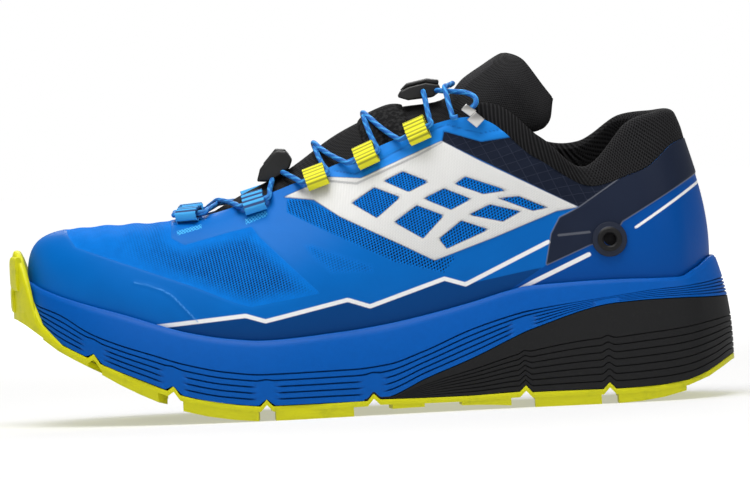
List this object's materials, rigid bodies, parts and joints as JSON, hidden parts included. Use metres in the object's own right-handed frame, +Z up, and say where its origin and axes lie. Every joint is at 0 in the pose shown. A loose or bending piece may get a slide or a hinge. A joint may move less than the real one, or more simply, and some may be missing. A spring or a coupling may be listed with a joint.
{
  "type": "trail running shoe",
  "caption": "Low-cut trail running shoe for the left foot, with a lugged rubber outsole, thick foam midsole, knit upper with moulded overlays and a quick-lock cord lace.",
  "frame": {"origin": "centre of the shoe's footprint box on the ground, under the sole", "axes": "+Z up, toe towards -X, heel towards +X, outer (lateral) side towards -Y"},
  "size_m": [0.296, 0.1068, 0.1443],
  "materials": {
    "yellow_rubber": "matte moulded outsole rubber",
    "blue_foam": "satin moulded foam",
    "black_foam": "satin moulded foam",
    "insole_foam": "foam with a cloth top",
    "blue_knit": "open knit mesh with welded films",
    "black_knit": "ribbed knit over foam",
    "black_padding": "fine mesh over foam",
    "blue_film": "moulded satin film",
    "light_blue_film": "moulded satin film",
    "yellow_webbing": "ribbed woven webbing",
    "blue_webbing": "ribbed woven webbing",
    "blue_cord": "braided cord",
    "black_plastic": "moulded plastic",
    "black_elastic": "ribbed elastic band",
    "silver_clip": "bare pressed metal"
  },
  "bodies": {
    "root": {"outsole": "yellow_rubber", "midsole": "blue_foam", "heel_foam": "black_foam", "insole": "insole_foam", "upper": "blue_knit", "collar_padding": "black_knit", "tongue": "black_padding", "toe_cap": "blue_film", "heel_counter": "blue_film", "eyestay_lateral": "light_blue_film", "eyestay_medial": "light_blue_film", "lace_loop_lateral_1": "blue_webbing", "lace_loop_lateral_2": "blue_webbing", "lace_loop_lateral_3": "yellow_webbing", "lace_loop_lateral_4": "yellow_webbing", "lace_loop_lateral_5": "yellow_webbing", "lace_loop_medial_1": "blue_webbing", "lace_loop_medial_2": "blue_webbing", "lace_loop_medial_3": "yellow_webbing", "lace_loop_medial_4": "yellow_webbing", "lace_loop_medial_5": "yellow_webbing", "lace_crossing_1": "blue_cord", "lace_crossing_2": "blue_cord", "lace_crossing_3": "blue_cord", "lace_crossing_4": "blue_cord", "lace_front_bar": "blue_cord", "lace_run_lateral": "blue_cord", "lace_run_medial": "blue_cord", "lace_end_1": "blue_cord", "lace_end_2": "blue_cord", "lace_lock": "black_plastic", "lace_dock": "black_plastic", "lace_pocket": "black_elastic", "cord_clip": "silver_clip", "gaiter_ring_lateral": "black_plastic", "gaiter_ring_medial": "black_plastic"}
  },
  "joints": []
}
